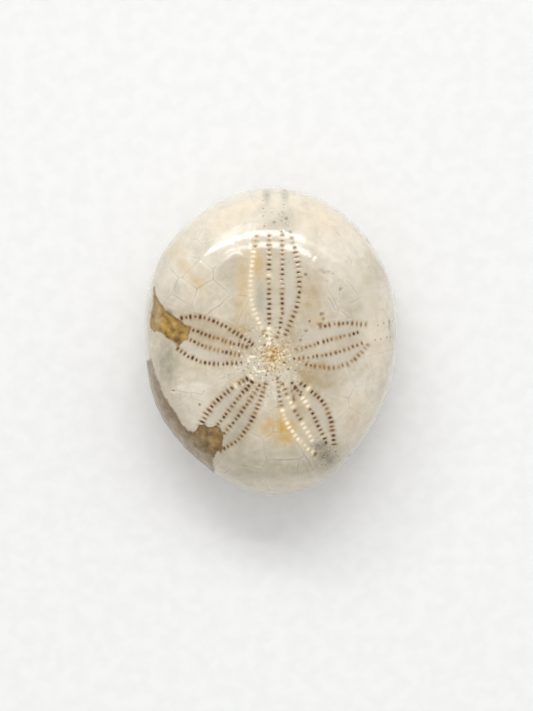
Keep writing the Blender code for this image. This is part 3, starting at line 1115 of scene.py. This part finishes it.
@dataclass(frozen=True)
class PolishedFossilCalcite:
    """Test of a fossil urchin, turned to calcite, ground and polished to a gloss.

    Light goes a little way into the cream calcite, so it looks milky, with cloudy
    plates between grey seams.  The pores hold brown iron oxide or white spar, and
    where the shell is broken away the sediment shows, duller and darker.
    """

    shell: Stops = ((0.31, "#b8ae99"), (0.69, "#e2d8c3"), (0.49, "#cec3ad"))
    seam: str = "#877a64"
    # paler plate edges: partly their own tone, partly a painted highlight where they catch the light
    edge: str = "#efe8da"
    zone: str = "#cac2b3"
    middle: str = "#bdb196"
    # whitening of the steep side: a painted reflection of the pale floor in the polish
    rim: str = "#e9e4da"
    halo: str = "#9c7843"
    glow: str = "#e8cb97"
    filling: Stops = (
        (0.0, "#3c2002"), (1.0, "#fff8e8"),
        (0.10, "#603b09"), (0.22, "#895d1c"), (0.38, "#aa8441"), (0.52, "#bca377"),
    )
    trail: str = "#6f6652"
    sponge: Stops = (
        (0.33, "#85602a"), (0.66, "#fbf0d4"),
        (0.41, "#b68d45"), (0.50, "#cfb075"), (0.58, "#e0cda0"),
    )
    iron: str = "#6b4a22"
    golden: Stops = ((0.32, "#785820"), (0.70, "#d2b26f"), (0.44, "#a27f37"), (0.56, "#b9964c"))
    taupe: Stops = ((0.34, "#6c5532"), (0.66, "#a89370"), (0.5, "#8b754e"))
    broken_edge: str = "#5d4319"
    cloud_mix: float = 0.38         # share of the fine mottling in the cloudy calcite
    tint_share: float = 0.045       # how far a plate's own tone shifts its colour
    lines: tuple[tuple[str, float, float], ...] = (     # value, half width in mm, and share
        ("seam", 0.11, 1.0),
        ("inner", 0.10, 0.35),
    )
    zone_share: float = 0.55
    middle_shares: tuple[tuple[str, float], ...] = (("middle", 0.22), ("bar", 0.14), ("band", 0.25))
    ragged_share: float = 0.16      # how far the grain breaks the sediment's edge, in mm
    index: float = 1.60             # between the two indices of calcite
    polish: Span = (0.10, 0.20)     # roughness of the shell and of a pore
    dull: float = 0.22              # roughness of the sediment
    milk: float = 0.15              # share of the light that goes into the calcite
    milk_reach: float = 0.5         # how far it goes, in millimetres
    milk_tint: tuple[float, float, float] = (1.0, 0.8, 0.55)
    grit_rise: float = 0.05         # height of the sediment's grains, in millimetres
    grit_share: float = 0.3

    MARKS = (
        "tint", "seam", "inner", "clear", "zone", "middle", "bar", "band", "rim", "disc",
        "halo", "glow", "pore", "filling", "trail", "speck", "matrix", "golden",
    )
    GRAINS = {                  # size in millimetres and octaves
        "cloud": (4.5, 4.0), "mottle": (0.7, 4.0), "dapple": (0.8, 4.0), "vein": (2.4, 2.0),
        "sponge": (0.34, 3.0), "speck": (0.23, 1.0), "sediment": (0.8, 6.0), "ragged": (0.35, 3.0),
        "grit": (0.3, 4.0),
    }

    def build(self) -> bpy.types.Material:
        """Make the material.

        Returns:
            The material.
        """
        material = bpy.data.materials.new("polished_fossil_calcite")
        coats = Coats(material, (*self.MARKS, *(tint.name for tint in Tint)), self.GRAINS)
        colour = self.lay_plates(coats)
        colour = self.lay_stains_and_reflection(coats, colour)
        colour = self.lay_pores(coats, colour)
        mask, matrix = self.mix_sediment(coats)
        colour = coats.lay(colour, matrix, mask)
        colour = self.lay_flecks(coats, colour)
        gloss = coats.add("ShaderNodeMapRange", {}, {
            "Value": coats.marks["pore"], "To Min": self.polish[0], "To Max": self.polish[1],
        })
        grit = coats.add("ShaderNodeMath", {"operation": "MULTIPLY"}, {0: coats.grains["grit"], 1: mask})
        shader = coats.add("ShaderNodeBsdfPrincipled", {}, {
            "Base Color": colour,
            "Roughness": coats.add("ShaderNodeMix", {}, {0: mask, 2: gloss, 3: self.dull}),
            "IOR": self.index,
            "Subsurface Weight": self.milk,
            "Subsurface Scale": self.milk_reach * MM,
            "Subsurface Radius": self.milk_tint,
            "Normal": coats.add("ShaderNodeBump", {}, {
                "Strength": self.grit_share, "Distance": self.grit_rise * MM, "Height": grit,
            }),
        })
        add_node(coats.tree, "ShaderNodeOutputMaterial", {}, {"Surface": shader})
        return material

    def lay_plates(self, coats: Coats) -> Socket:
        """Cloudy cream calcite with plate edges painted paler, partly their own tone and partly a painted
        highlight where they catch the light, grey seams and the petals' zones.

        Args:
            coats: Node tree of the material.

        Returns:
            The colour's output.
        """
        clear = coats.marks["clear"]
        both = coats.add("ShaderNodeMix", {}, {
            0: self.cloud_mix, 2: coats.grains["cloud"], 3: coats.grains["mottle"],
        })
        tinted = coats.add("ShaderNodeMath", {"operation": "MULTIPLY_ADD"}, {
            0: coats.marks["tint"], 1: self.tint_share, 2: both,
        })
        colour = coats.add("ShaderNodeValToRGB", {"stops": self.shell}, {"Fac": tinted})
        # Plate edges painted paler: partly their own tone, partly painted highlight.
        pale_edge_and_highlight = coats.add("ShaderNodeMapRange", {}, {
            "Value": coats.marks["seam"], "From Min": 0.50, "From Max": 0.08, "To Max": 0.40,
        })
        colour = coats.lay(colour, self.edge, pale_edge_and_highlight, clear)
        strength = coats.add("ShaderNodeMapRange", {}, {
            "Value": coats.grains["vein"], "From Min": 0.38, "From Max": 0.62,
            "To Min": 0.06, "To Max": 0.85,
        })
        for name, half, share in self.lines:
            line = coats.add("ShaderNodeMapRange", {}, {
                "Value": coats.marks[name], "From Min": half, "From Max": 0.02, "To Max": share,
            })
            colour = coats.lay(colour, self.seam, line, clear, strength)
        colour = coats.lay(colour, self.zone, coats.marks["zone"], self.zone_share)
        for name, share in self.middle_shares:
            colour = coats.lay(colour, self.middle, coats.marks[name], share)
        return colour

    def lay_stains_and_reflection(self, coats: Coats, colour: Socket) -> Socket:
        """Dappled stains, the side whitened as a painted reflection of the pale floor, and the iron-soaked
        spongy plates at the crown.

        Args:
            coats: Node tree of the material.
            colour: Colour below.

        Returns:
            The colour's output.
        """
        dapple = coats.add("ShaderNodeMapRange", {}, {
            "Value": coats.grains["dapple"], "From Min": 0.35, "From Max": 0.65,
            "To Min": 0.55, "To Max": 1.25,
        })
        for tint in (Tint.PALE, Tint.WARM, Tint.OLIVE, Tint.TAN, Tint.OCHRE, Tint.GREY):
            colour = coats.lay(colour, tint.value, coats.marks[tint.name], dapple)
        # Painted reflection of the pale floor, whitening the steep side.
        colour = coats.lay(colour, self.rim, coats.marks["rim"])
        sponge = coats.add("ShaderNodeValToRGB", {"stops": self.sponge}, {"Fac": coats.grains["sponge"]})
        return coats.lay(colour, sponge, coats.marks["disc"])

    def lay_pores(self, coats: Coats, colour: Socket) -> Socket:
        """Filled pores, from dark brown to tan, or white, each in a faint halo; the iron-filled ones are
        darker in the middle, as painted shade in the pit.

        Args:
            coats: Node tree of the material.
            colour: Colour below the pores.

        Returns:
            The colour's output.
        """
        filling = coats.add("ShaderNodeValToRGB", {"stops": self.filling}, {"Fac": coats.marks["filling"]})
        for name, above in {
            "halo": self.halo, "glow": self.glow, "pore": filling, "trail": self.trail,
        }.items():
            colour = coats.lay(colour, above, coats.marks[name])
        return colour

    def mix_sediment(self, coats: Coats) -> tuple[Socket, Socket]:
        """Sediment that shows where the shell is broken away.

        Args:
            coats: Node tree of the material.

        Returns:
            The outputs of its cover and of its colour.
        """
        inside = coats.marks["matrix"]
        golden, taupe = (
            coats.add("ShaderNodeValToRGB", {"stops": stops}, {"Fac": coats.grains["sediment"]})
            for stops in (self.golden, self.taupe)
        )
        colour = coats.lay(taupe, golden, coats.marks["golden"])
        for tint in (Tint.CLAY, Tint.GOLD):
            colour = coats.lay(colour, tint.value, coats.marks[tint.name])
        edge = coats.add("ShaderNodeMapRange", {}, {
            "Value": inside, "From Min": 0.45, "From Max": 0.05, "To Max": 0.45,
        })
        colour = coats.lay(colour, self.broken_edge, edge)
        ragged = coats.add("ShaderNodeMath", {"operation": "MULTIPLY_ADD"}, {
            0: coats.grains["ragged"], 1: self.ragged_share, 2: inside,
        })
        cover = coats.add("ShaderNodeMapRange", {}, {"Value": ragged, "From Min": 0.03, "From Max": 0.13})
        return cover, colour

    def lay_flecks(self, coats: Coats, colour: Socket) -> Socket:
        """Grains of white spar and brown iron, thickest about the crown, and single marks, one of them a
        broad painted reflection at the top edge.

        Args:
            coats: Node tree of the material.
            colour: Colour below.

        Returns:
            The colour's output.
        """
        for low, high, code in ((0.64, 0.71, Tint.SPAR_AND_REFLECTION.value), (0.36, 0.30, self.iron)):
            flecks = coats.add("ShaderNodeMapRange", {}, {
                "Value": coats.grains["speck"], "From Min": low, "From Max": high, "To Max": 0.85,
            })
            colour = coats.lay(colour, code, flecks, coats.marks["speck"])
        for tint in (Tint.SPAR_AND_REFLECTION, Tint.MARK):
            colour = coats.lay(colour, tint.value, coats.marks[tint.name])
        return colour


@dataclass(frozen=True)
class Fineness:
    """How near a mark a face has to lie to be divided; 1 is a pore's edge, the rest are in mm."""

    pore: float
    trail: float
    edge: float
    disc: float = 0.0
    seam: float = 0.0


@dataclass
class PolishedTest:
    """The whole fossil: one closed mesh laid on the solid's form, with its fine surface."""

    form: TestForm = field(default_factory=TestForm)
    name: str = "polished_test"
    coarse_level: int = 6
    fineness: tuple[Fineness, ...] = (
        Fineness(pore=2.9, trail=3.0, edge=0.35, disc=2.3, seam=0.17),
        Fineness(pore=1.55, trail=1.8, edge=0.10),
    )
    base_margin: float = 0.08       # how far up the side the base's finer faces go, of the ball
    pore_depth: float = 0.026
    spar_depth: float = 0.010
    trail_depth: float = 0.03
    seam_depth: float = 0.010
    inner_depth: float = 0.004
    seam_half: float = 0.16
    plate_tilt: float = 0.0016
    plate_pillow: float = 0.006
    pillow_width: float = 1.3       # how far from a seam a plate starts to round off
    matrix_depth: float = 0.12
    matrix_waves: tuple[Span, ...] = ((0.09, 0.55), (0.05, 0.23))   # strays and sizes of its edge
    matrix_fall: float = 0.45       # how fast the broken edge closes in below the rim
    fall_wave: Span = (0.5, 2.4)    # rise and size of the waves in that fall
    matrix_edge: Span = (-0.02, 0.16)   # distances inside the edge where the floor drops
    colour_edge: Span = (-0.4, 0.5)     # and where one patch's colour takes over
    rough_wave: Span = (0.4, 0.8)   # rise and size of the floor's bumps
    filled: Span = (0.25, 0.7)      # depths in an opening where the sediment starts to show
    disc_depth: float = 0.05
    disc_wave: Span = (0.35, 0.8)   # stray and size of the disc's ragged edge
    disc_steps: tuple[tuple[float, Span], ...] = (      # share, and distances where it fades in
        (0.55, (2.3, 1.0)),
        (0.35, (1.0, 0.5)),
    )
    hole_size: float = 0.25
    mouth_halves: Plan = (1.5, 1.25)
    mouth_depth: float = 1.2
    mouth_corners: float = 0.07     # how far the mouth's five corners stand out
    vent: Plan = (0.0, -10.1)
    vent_halves: Plan = (1.05, 1.35)
    vent_depth: float = 1.0
    opening_edge: Span = (1.08, 0.55)   # where an opening's slope starts and ends, of its halves
    disc_middle: Plan = (0.35, -1.45)
    reflection_top: float = 11.4           # height below which the polished side is whitened, a painted reflection of the pale floor
    reflection_share: float = 0.70
    pore_edge: Span = (1.45, 0.65)  # where the iron fades; 1 is a pore's outline, as below
    spar_edge: Span = (1.7, 0.6)
    # where the painted shade in a pore's middle gives way to its paler edge
    pit_shade_edge: Span = (0.45, 1.15)
    glow_edge: Span = (3.4, 1.2)
    halo_edge: Span = (2.6, 1.0)
    trail_edge: Span = (1.4, 0.7)
    faintness: float = 0.4          # how much of a faint pore's cover is lost
    tone_share: float = 0.45        # how far a tone goes up the colours of the filling
    pit_shade_share: float = 0.16        # how much paler the filling is at its edge than in its middle, where painted shade darkens the pit
    palest_iron: float = 0.55
    halo_share: float = 0.36
    glow_share: float = 0.45
    trail_share: float = 0.75
    crack_share: float = 0.75
    low_seams: float = 0.4          # how much nearer the seams count under the rim
    clear_top: float = 0.45         # how clear the seams are on the dome; 1 below the rim
    clear_gaps: tuple[tuple[Plan, float], ...] = (      # where they show best, and how much
        ((-5.0, 8.0), 0.28),
        ((7.0, 7.5), -0.15),
        ((-8.0, -5.0), -0.20),
        ((1.0, -11.5), 0.25),
    )
    gap_edge: Span = (8.5, 3.5)     # distances where such a place fades
    crack_edge: Span = (0.35, 0.15)
    reflection_wave: Span = (0.8, 3.0)     # rise and size of the waves in the top edge of the side's painted floor reflection
    speck_ground: float = 0.06      # share of the specks away from the places below
    speck_places: tuple[tuple[Plan, float, float, float], ...] = (  # outer and inner reach, share
        ((-0.6, -1.9), 6.0, 1.2, 1.0),
        ((5.2, -11.2), 2.4, 0.6, 0.8),
        ((1.0, 12.6), 2.2, 0.6, 0.6),
    )
    top_layout: tuple[Plan, float] = ((0.355, 0.64), 0.345)     # middle and radius of the skin's
    base_layout: tuple[Plan, float] = ((0.85, 0.15), 0.145)     # two discs, laid flat
    layout_margin: float = 1.0      # room left about each disc, in millimetres of the skin
    piece: bpy.types.Object = field(init=False)
    directions: Array = field(init=False)               # unit vectors of the ball's points
    points: Array = field(init=False)                   # the piece's points in millimetres
    upper: Array = field(init=False)                    # 1 above the rim, 0 below it

    def __post_init__(self) -> None:
        """Set out the pores, the plates and the noise."""
        self.noise = Noise(5)
        self.pores = PoreField(self.form)
        self.trail = TrailPores(self.form)
        self.mosaic = Mosaic(self.form, Noise(23))

    def build(self) -> bpy.types.Object:
        """Build and dress the piece.

        Returns:
            The finished piece.
        """
        self.start_ball()
        self.refine()
        mesh = self.piece.data
        self.directions = self.read_directions(mesh.vertices, "co")
        self.points = self.fit_to_solid(self.form.lay(self.directions))
        self.write_points(self.points)
        self.carve()
        self.unwrap()
        mesh.shade_smooth()
        mesh.materials.append(PolishedFossilCalcite().build())
        LOG.info("%s has %d triangles", self.name, len(mesh.polygons))
        return self.piece

    def start_ball(self) -> None:
        """Add the ball that the body is shaped from."""
        bpy.ops.object.select_all(action="DESELECT")
        bpy.ops.mesh.primitive_ico_sphere_add(subdivisions=self.coarse_level, radius=1.0)
        self.piece = bpy.context.object
        self.piece.name = self.name
        self.piece.data.name = self.name

    @staticmethod
    def read_directions(rows: bpy.types.bpy_prop_collection, name: str) -> Array:
        """Read vectors of the mesh, each brought to unit length.

        Args:
            rows: The mesh's points, faces or normals.
            name: Name of the vector that each of them holds.

        Returns:
            Unit vectors, one row each.
        """
        places = np.empty(len(rows) * 3)
        rows.foreach_get(name, places)
        places = places.reshape(-1, 3)
        return places / np.linalg.norm(places, axis=1)[:, None]

    def refine(self) -> None:
        """Divide the ball's faces where the finished surface is fine."""
        ways = self.read_directions(self.piece.data.polygons, "center")
        self.divide(ways[:, 2] > math.cos(self.form.side_share * math.pi) - self.base_margin)
        for near in self.fineness:
            ways = self.read_directions(self.piece.data.polygons, "center")
            points = self.form.lay(ways)
            plan = points[:, :2]
            marked = self.pores.measure(plan)[0] < near.pore
            marked |= np.linalg.norm(plan - np.array(self.disc_middle), axis=1) < near.disc
            if near.seam:
                marked |= self.mosaic.read(ways, points)["seam"] < near.seam
            for patch in PATCHES:
                marked |= np.abs(patch.inside(plan)) < near.edge
            on_top = points[:, 2] > self.form.rim_height
            self.divide((on_top & marked) | (self.trail.measure(points) < near.trail))

    def divide(self, chosen: Array) -> None:
        """Divide the chosen faces once, and keep every face a triangle.

        Args:
            chosen: Which faces to divide.
        """
        bpy.ops.object.mode_set(mode="EDIT")
        bpy.ops.mesh.select_mode(type="FACE")
        bpy.ops.mesh.select_all(action="DESELECT")
        bpy.ops.object.mode_set(mode="OBJECT")
        self.piece.data.polygons.foreach_set("select", chosen)
        bpy.ops.object.mode_set(mode="EDIT")
        bpy.ops.mesh.subdivide(number_cuts=1)
        bpy.ops.mesh.select_all(action="SELECT")
        bpy.ops.mesh.quads_convert_to_tris(quad_method="BEAUTY", ngon_method="BEAUTY")
        bpy.ops.object.mode_set(mode="OBJECT")

    @staticmethod
    def fit_to_solid(points: Array) -> Array:
        """Bring the laid points into the solid's own box.

        Args:
            points: Points in millimetres, one row each.

        Returns:
            The moved points.
        """
        low, high = (np.array(corner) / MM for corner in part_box(NODE))
        own_low, own_high = points.min(axis=0), points.max(axis=0)
        middle = (low + high) / 2.0
        own_middle = (own_low + own_high) / 2.0
        return (points - own_middle) * (high - low) / (own_high - own_low) + middle

    def write_points(self, points: Array) -> None:
        """Move the mesh's points to these places, in millimetres."""
        self.piece.data.vertices.foreach_set("co", (points * MM).ravel())
        self.piece.data.update()

    def write_value(self, name: str, values: Array) -> None:
        """Keep one value for each of the mesh's points, under the name that the material reads."""
        layer = self.piece.data.attributes.new(name, "FLOAT", "POINT")
        layer.data.foreach_set("value", values.astype(np.float32))

    def near(self, middle: Plan, outer: float, inner: float) -> Array:
        """Find how near the points lie to a place.

        Args:
            middle: The place in plan.
            outer: Distance from which a point counts.
            inner: Distance within which it counts in full.

        Returns:
            Shares from 0 to 1.
        """
        return smooth_step(outer, inner, np.linalg.norm(self.points[:, :2] - np.array(middle), axis=1))

    def carve(self) -> None:
        """Sink the pores, seams and broken places, and mark them for the material."""
        normals = self.read_directions(self.piece.data.vertex_normals, "vector")
        height = self.points[:, 2]
        self.upper = smooth_step(self.form.rim_height - 1.0, self.form.rim_height + 0.5, height)
        depth = self.mark_pores() + self.mark_plates() + self.mark_disc() + self.mark_matrix()
        self.mark_stains_and_reflections()
        depth = np.where(height < self.form.base_clear, np.maximum(depth, 0.0), depth)
        self.write_points(self.points - normals * depth[:, None] + self.openings())

    def mark_pores(self) -> Array:
        """Mark the pores and find how deep they lie.

        Returns:
            Depths in millimetres.
        """
        distance, owner = self.pores.measure(self.points[:, :2])
        tone = self.pores.tones[owner]
        spar = tone > self.pores.SPAR_FROM
        cover = smooth_step(*self.pore_edge, distance) * self.upper
        spread = smooth_step(*self.spar_edge, distance) * self.upper
        iron = cover * (1.0 - self.faintness * np.clip(tone, 0.0, 1.0))
        # The filling darkens towards the pore's middle: painted shade in its pit.
        tone_and_pit_shade = tone * self.tone_share + self.pit_shade_share * smooth_step(*self.pit_shade_edge, distance)
        glow = smooth_step(*self.glow_edge, distance) * self.upper
        halo = smooth_step(*self.halo_edge, distance) * self.upper
        zone, middle, bar = self.pores.zones(self.points[:, :2])
        trail = smooth_step(*self.trail_edge, self.trail.measure(self.points))
        for name, values in (
            ("pore", np.where(spar, spread, iron)),
            ("glow", glow * np.where(spar, self.glow_share, 0.0)),
            ("filling", np.where(spar, tone / 2.0, np.minimum(tone_and_pit_shade, self.palest_iron))),
            ("halo", halo * np.where(spar, 0.0, self.halo_share)),
            ("zone", zone * self.upper),
            ("middle", middle * self.upper),
            ("bar", bar * self.upper),
            ("trail", self.trail_share * trail),
        ):
            self.write_value(name, values)
        return np.where(spar, self.spar_depth, self.pore_depth) * cover + self.trail_depth * trail

    def mark_plates(self) -> Array:
        """Mark the plates and find how deep their seams lie.

        Returns:
            Depths in millimetres.
        """
        plates = self.mosaic.read(self.directions, self.points)
        height = self.points[:, 2]
        rim = self.form.rim_height
        low = 1.0 - self.low_seams * smooth_step(rim + 1.0, rim - 1.0, height)
        for name, scale in (("seam", low), ("inner", low), ("tint", 1.0), ("band", 1.0)):
            self.write_value(name, plates[name] * scale)
        clear = 1.0 - (1.0 - self.clear_top) * smooth_step(rim - 1.0, rim + 2.0, height)
        for middle, share in self.clear_gaps:
            clear += share * self.near(middle, *self.gap_edge)
        clear = np.maximum(clear, self.crack_share * smooth_step(*self.crack_edge, plates["crack"]))
        self.write_value("clear", clear)
        # The side below the top height is whitened: a painted reflection of the pale floor.
        rise, size = self.reflection_wave
        wavy = height + rise * self.noise.at(self.points, size)
        self.write_value("rim", self.reflection_share * smooth_step(self.reflection_top, rim + 1.0, wavy))
        depth = self.seam_depth * smooth_step(self.seam_half, 0.0, plates["seam"])
        depth += self.plate_pillow * smooth_step(self.pillow_width, 0.0, plates["seam"])
        depth += self.inner_depth * smooth_step(self.seam_half, 0.0, plates["inner"])
        return depth + self.plate_tilt * plates["tilt"]

    def mark_disc(self) -> Array:
        """Mark the spongy plates at the crown and the specks, and find how deep their holes are.

        Returns:
            Depths in millimetres.
        """
        away = np.linalg.norm(self.points[:, :2] - np.array(self.disc_middle), axis=1)
        stray, size = self.disc_wave
        away += stray * self.noise.at(self.points, size)
        cover = sum(share * smooth_step(*edge, away) for share, edge in self.disc_steps) * self.upper
        self.write_value("disc", cover)
        specks = np.zeros(len(self.points))
        for middle, outer, inner, share in self.speck_places:
            specks = np.maximum(specks, share * self.near(middle, outer, inner))
        self.write_value("speck", (self.speck_ground + (1.0 - self.speck_ground) * specks) * self.upper)
        holes = np.clip(self.noise.at(self.points + FAR, self.hole_size), 0.0, 1.0)
        return self.disc_depth * cover * holes

    def mark_matrix(self) -> Array:
        """Mark the sediment and find how deep it lies.

        Returns:
            Depths in millimetres.
        """
        points = self.points
        ragged = sum(stray * self.noise.at(points, size) for stray, size in self.matrix_waves)
        slope = self.matrix_fall + self.fall_wave[0] * self.noise.at(points, self.fall_wave[1])
        below = np.maximum(self.form.rim_height - points[:, 2], 0.0) * slope
        inside = np.full(len(points), -FAR)
        golden, share = np.zeros(len(points)), np.full(len(points), 1e-6)
        for patch in PATCHES:
            own = (patch.inside(points[:, :2]) + ragged - below) * patch.crispness
            if not patch.over_rim:
                own = np.where(self.upper > 0.5, own, -FAR)
            weight = smooth_step(*self.colour_edge, own)
            golden += patch.golden * weight
            share += weight
            inside = np.maximum(inside, own)
        filled = smooth_step(*self.filled, self.openings()[:, 2])
        self.write_value("matrix", np.clip(np.maximum(inside, filled - 0.3), -1.0, 1.0))
        self.write_value("golden", golden / share)
        rise, size = self.rough_wave
        rough = 1.0 - rise + rise * self.noise.at(points, size)
        return self.matrix_depth * smooth_step(*self.matrix_edge, inside) * rough

    def mark_stains_and_reflections(self) -> None:
        """Mark the stains of each tint, with the painted reflection at the top edge."""
        broad = self.noise.at(self.points, 2.2) + 0.5 * self.noise.at(self.points, 0.9)
        ragged = (broad, self.noise.at(self.points, 0.35))
        for tint in Tint:
            covers = [StainAndReflection(*stain).cover(self.points[:, :2], ragged) for stain in STAINS_AND_REFLECTIONS[tint]]
            self.write_value(tint.name, np.max(covers, axis=0) * self.upper)

    def openings(self) -> Array:
        """Push the mouth and the vent into the underside.

        Returns:
            Shifts in millimetres, one row each.
        """
        under = self.points[:, 2] < self.form.hollow_rise + 0.4
        shifts = np.zeros((len(self.points), 3))
        for middle, halves, depth, corners in (
            (self.form.mouth, self.mouth_halves, self.mouth_depth, self.mouth_corners),
            (self.vent, self.vent_halves, self.vent_depth, 0.0),
        ):
            away = self.points[:, :2] - np.array(middle)
            bearing = np.arctan2(away[:, 1], away[:, 0])
            swell = 1.0 + corners * np.cos(5.0 * (bearing - QUARTER))
            distance = np.hypot(away[:, 0] / halves[0], away[:, 1] / halves[1]) / swell
            shifts[:, 2] += np.where(under, depth * smooth_step(*self.opening_edge, distance), 0.0)
        return shifts

    def unwrap(self) -> None:
        """Lay the skin out flat: the dome and side as one disc, the base as a smaller one."""
        mesh = self.piece.data
        corners = np.empty(len(mesh.loops), int)
        mesh.loops.foreach_get("vertex_index", corners)
        run = self.form.run(self.directions)[corners]
        turn = np.arctan2(self.directions[:, 1], self.directions[:, 0])[corners]
        split = math.cos(self.form.side_share * math.pi)
        face_levels = self.directions[corners.reshape(-1, 3)].mean(axis=1)[:, 2]
        upper = np.repeat(face_levels > split, 3)
        levels = np.array(((math.sqrt(1.0 - split ** 2), 0.0, split), (0.0, 0.0, -1.0)))
        edge, end = self.form.run(levels)
        (top_middle, top_radius), (base_middle, base_radius) = self.top_layout, self.base_layout
        top = top_radius / (edge + self.layout_margin) * run
        base = base_radius / (end - edge + self.layout_margin) * (end - run)
        radius = np.where(upper, top, base)
        middle = np.where(upper[:, None], top_middle, base_middle)
        places = middle + radius[:, None] * np.column_stack((np.cos(turn), np.sin(turn)))
        layer = mesh.uv_layers.new(name="OFBake")
        layer.data.foreach_set("uv", places.ravel())


@dataclass(frozen=True)
class Strip:
    """One long soft light hung level over the fossil, in millimetres."""

    name: str
    ahead: float                            # distance in front of the fossil
    span: Span                             # where it starts and ends, left to right
    width: float
    radiance: float                         # brightness against a white floor's


@dataclass
class Studio:
    """Camera, floor and soft room light, in millimetres."""

    pixel_size: float = 0.1033              # what a pixel spans at the rim's level
    frame_pixels: tuple[int, int] = (533, 711)
    rim_level: float = 5.0
    camera_rise: float = 600.0              # from the rim's level
    camera_offset: Span = (-0.47, -1.38)
    camera_reach: float = 20.0              # in metres
    sensor: float = 36.0
    floor_side: float = 6000.0
    strips: tuple[Strip, ...] = (
        Strip("front_strip", 960.0, (-1120.0, 260.0), 210.0, 8.7),
        Strip("front_strip_left", 1330.0, (-1180.0, -430.0), 470.0, 2.6),
        Strip("front_strip_right", 960.0, (260.0, 700.0), 200.0, 2.6),
        Strip("near_strip", 652.0, (-300.0, 290.0), 105.0, 10.0),
        Strip("near_strip_left", 640.0, (-560.0, -310.0), 95.0, 6.5),
        Strip("window_haze", 930.0, (-1100.0, 700.0), 700.0, 1.1),
        Strip("ceiling", 0.0, (-2500.0, 2500.0), 5000.0, 0.32),
    )
    strip_height: float = 1200.0
    strip_bearing: float = 8.0              # turn of the strips, from across the body
    room_strength: float = 0.40
    backdrop_strength: float = 0.90         # what shows behind the floor in low views

    def build(self) -> None:
        """Make the camera, the floor, the lights and the surrounding light."""
        self.add_camera()
        self.add_floor()
        for strip in self.strips:
            self.add_strip(strip)
        self.set_surroundings()

    def add_camera(self) -> None:
        """Place the camera straight above the fossil."""
        bpy.ops.object.camera_add()
        camera = bpy.context.object
        camera.name = "overhead_camera"
        view_height = self.pixel_size * self.frame_pixels[1]
        camera.data.sensor_width = self.sensor
        camera.data.lens = self.sensor * self.camera_rise / view_height
        camera.location = Vector((*self.camera_offset, self.camera_rise + self.rim_level)) * MM
        camera.rotation_euler = (0.0, 0.0, 0.0)
        camera.data.clip_end = self.camera_reach
        bpy.context.scene.camera = camera

    def add_floor(self) -> None:
        """Lay a sheet of white paper."""
        bpy.ops.object.select_all(action="DESELECT")
        bpy.ops.mesh.primitive_plane_add(size=self.floor_side * MM)
        floor = bpy.context.object
        floor.name = "paper_floor"
        floor.data.materials.append(WhitePaper().build())

    def add_strip(self, strip: Strip) -> None:
        """Hang one soft light.

        Args:
            strip: The light's name, place, size and brightness.
        """
        bpy.ops.object.light_add(type="AREA")
        light = bpy.context.object
        light.name = strip.name
        light.data.shape = "RECTANGLE"
        light.data.size = (strip.span[1] - strip.span[0]) * MM
        light.data.size_y = strip.width * MM
        light.data.energy = strip.radiance * math.pi * light.data.size * light.data.size_y
        turn = math.radians(self.strip_bearing)
        forward = Vector((math.sin(turn), math.cos(turn), 0.0))
        rightward = Vector((math.cos(turn), -math.sin(turn), 0.0))
        middle = forward * strip.ahead + rightward * (strip.span[0] + strip.span[1]) / 2.0
        light.location = (middle + Vector((0.0, 0.0, self.strip_height))) * MM
        light.rotation_euler = (0.0, 0.0, -turn)

    def set_surroundings(self) -> None:
        """Fill the room with even light."""
        world = bpy.data.worlds.new("even_room_light")
        world.use_nodes = True
        tree = world.node_tree
        background = tree.nodes["Background"]
        background.inputs["Color"].default_value = linear("#ffffff")
        seen = add_node(tree, "ShaderNodeLightPath", {}, {}).outputs["Is Camera Ray"]
        strength = add_node(tree, "ShaderNodeMix", {}, {
            0: seen, 2: self.room_strength, 3: self.backdrop_strength,
        })
        tree.links.new(strength.outputs[0], background.inputs["Strength"])
        bpy.context.scene.world = world
        bpy.context.scene.view_settings.view_transform = "Standard"


def main() -> None:
    """Build the studio and the fossil, and hand them to the frame."""
    logging.basicConfig(level=logging.INFO, format="%(name)s: %(message)s")
    Studio().build()
    piece = PolishedTest().build()
    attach(piece, "root")
    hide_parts(NODE)


if __name__ == "__main__":
    main()
